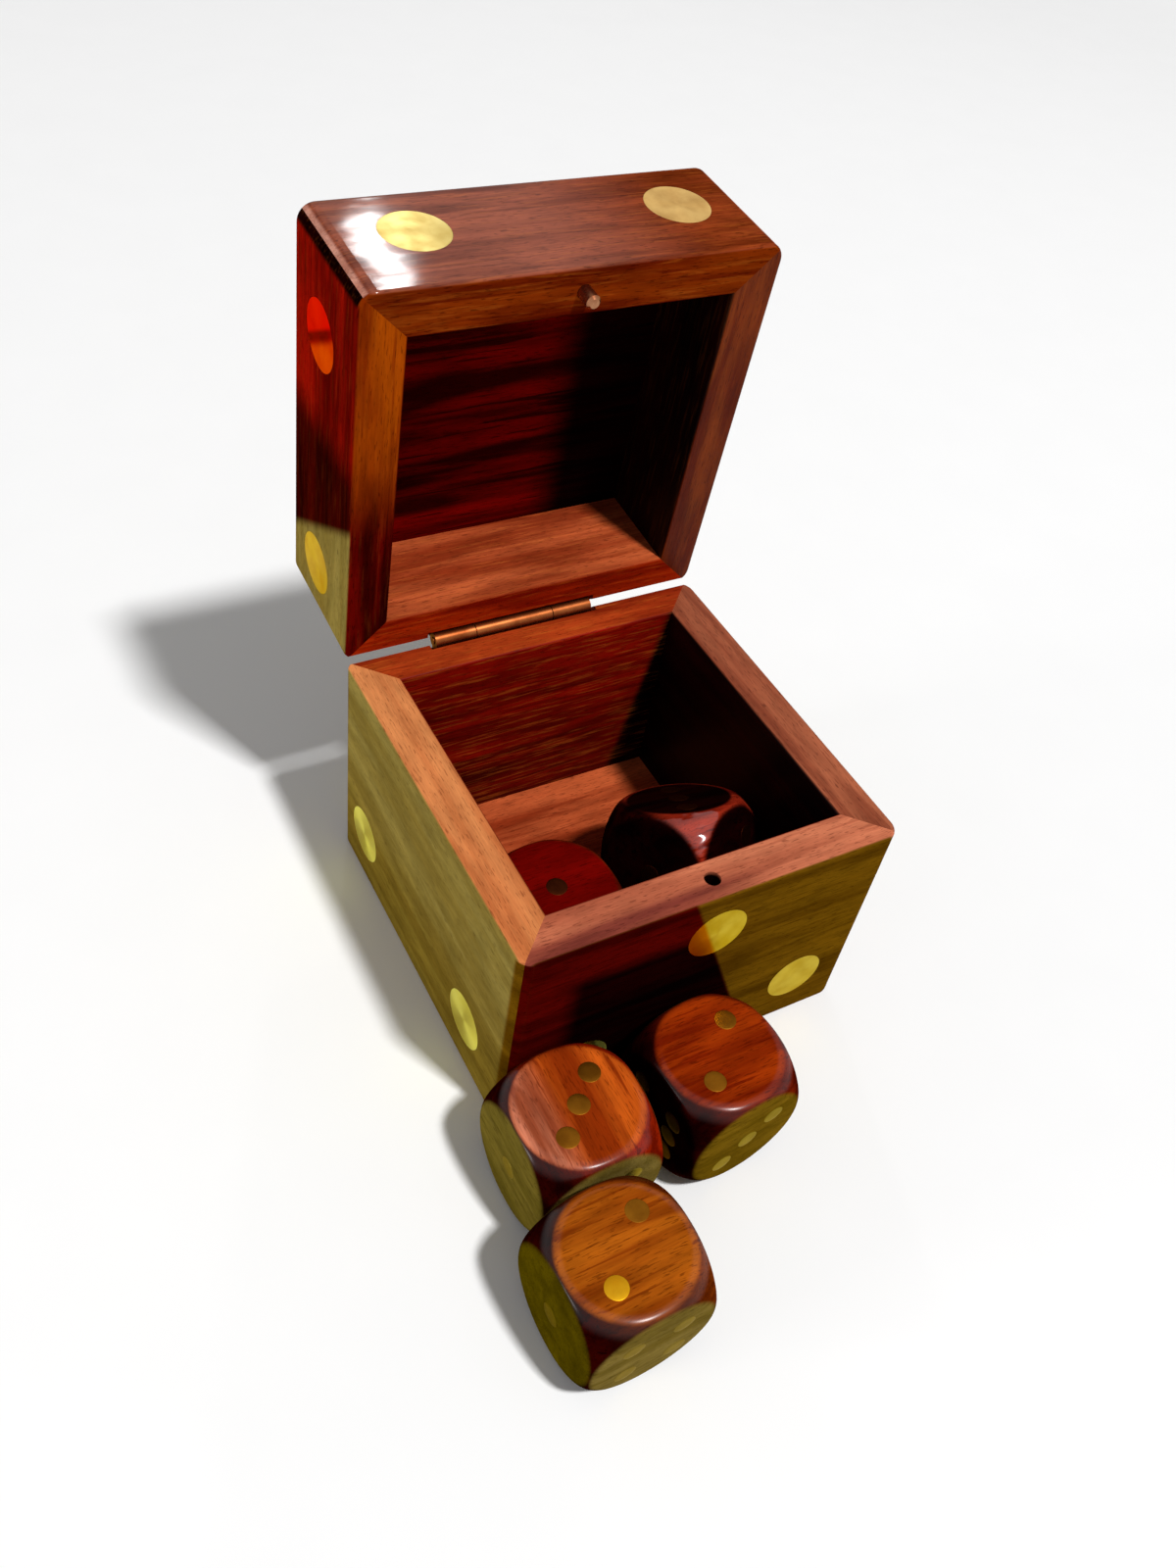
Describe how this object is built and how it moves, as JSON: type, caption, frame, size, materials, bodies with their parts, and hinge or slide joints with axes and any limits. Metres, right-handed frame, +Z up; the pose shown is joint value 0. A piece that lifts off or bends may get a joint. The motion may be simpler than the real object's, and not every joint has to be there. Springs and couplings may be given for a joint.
{
  "type": "dice box with hinged lid",
  "caption": "Small cube box made like a large die: mitred dark wood walls, inlaid brass pips, a lid on a brass hinge, and loose ball-cut wooden dice.",
  "frame": {"origin": "centre of the underside of the box", "axes": "+X to the right seen from the front, +Y to the back where the hinge is, +Z up"},
  "size_m": [0.0683, 0.1208, 0.0997],
  "materials": {
    "rosewood_box": "polished clear varnish over dark red-brown rosewood",
    "rosewood_dice": "polished clear varnish over streaky red-brown rosewood",
    "brass_box_pips": "polished flush with the wood",
    "brass_die_pips": "partly dulled, flush with the wood",
    "brass_hinge": "aged, slightly coppery"
  },
  "bodies": {
    "base": {"base_back_pip": "brass_box_pips", "base_back_wall": "rosewood_box", "base_bottom_pip": "brass_box_pips", "base_floor": "rosewood_box", "base_front_pip_1": "brass_box_pips", "base_front_pip_2": "brass_box_pips", "base_front_pip_3": "brass_box_pips", "base_front_wall": "rosewood_box", "base_left_pip_1": "brass_box_pips", "base_left_pip_2": "brass_box_pips", "base_left_wall": "rosewood_box", "base_right_pip_1": "brass_box_pips", "base_right_pip_2": "brass_box_pips", "base_right_wall": "rosewood_box", "hinge_base_leaf": "brass_hinge", "hinge_pin": "brass_hinge", "hinge_base_brad_1": "brass_hinge", "hinge_base_brad_2": "brass_hinge"},
    "lid": {"lid_back_pip": "brass_box_pips", "lid_back_wall": "rosewood_box", "lid_front_pip_1": "brass_box_pips", "lid_front_pip_2": "brass_box_pips", "lid_front_wall": "rosewood_box", "lid_left_pip_1": "brass_box_pips", "lid_left_pip_2": "brass_box_pips", "lid_left_wall": "rosewood_box", "lid_peg": "brass_hinge", "lid_right_pip": "brass_box_pips", "lid_right_wall": "rosewood_box", "lid_top_panel": "rosewood_box", "lid_top_pip_1": "brass_box_pips", "lid_top_pip_2": "brass_box_pips", "lid_top_pip_3": "brass_box_pips", "lid_top_pip_4": "brass_box_pips", "lid_top_pip_5": "brass_box_pips", "lid_top_pip_6": "brass_box_pips", "hinge_lid_leaf": "brass_hinge", "hinge_lid_brad_1": "brass_hinge", "hinge_lid_brad_2": "brass_hinge"},
    "die_1": {"die_1": "rosewood_dice", "die_1_pips": "brass_die_pips"},
    "die_2": {"die_2": "rosewood_dice", "die_2_pips": "brass_die_pips"},
    "die_3": {"die_3": "rosewood_dice", "die_3_pips": "brass_die_pips"},
    "die_4": {"die_4": "rosewood_dice", "die_4_pips": "brass_die_pips"},
    "die_5": {"die_5": "rosewood_dice", "die_5_pips": "brass_die_pips"}
  },
  "joints": [
    {"name": "lid_hinge", "type": "hinge", "parent": "base", "child": "lid", "pos_m": [-0.00225, 0.0297, 0.03855], "axis": [-1, 0, 0], "range_deg": [-85.5, 44.5]},
    {"name": "die_1_lift", "type": "slide", "parent": "base", "child": "die_1", "axis": [0, 0, 1], "range_m": [0, 0.02]},
    {"name": "die_2_lift", "type": "slide", "parent": "base", "child": "die_2", "axis": [0, 0, 1], "range_m": [0, 0.02]},
    {"name": "die_3_lift", "type": "slide", "parent": "base", "child": "die_3", "axis": [0, 0, 1], "range_m": [0, 0.02]},
    {"name": "die_4_lift", "type": "slide", "parent": "base", "child": "die_4", "axis": [0, 0, 1], "range_m": [0, 0.02]},
    {"name": "die_5_lift", "type": "slide", "parent": "base", "child": "die_5", "axis": [0, 0, 1], "range_m": [0, 0.02]}
  ]
}
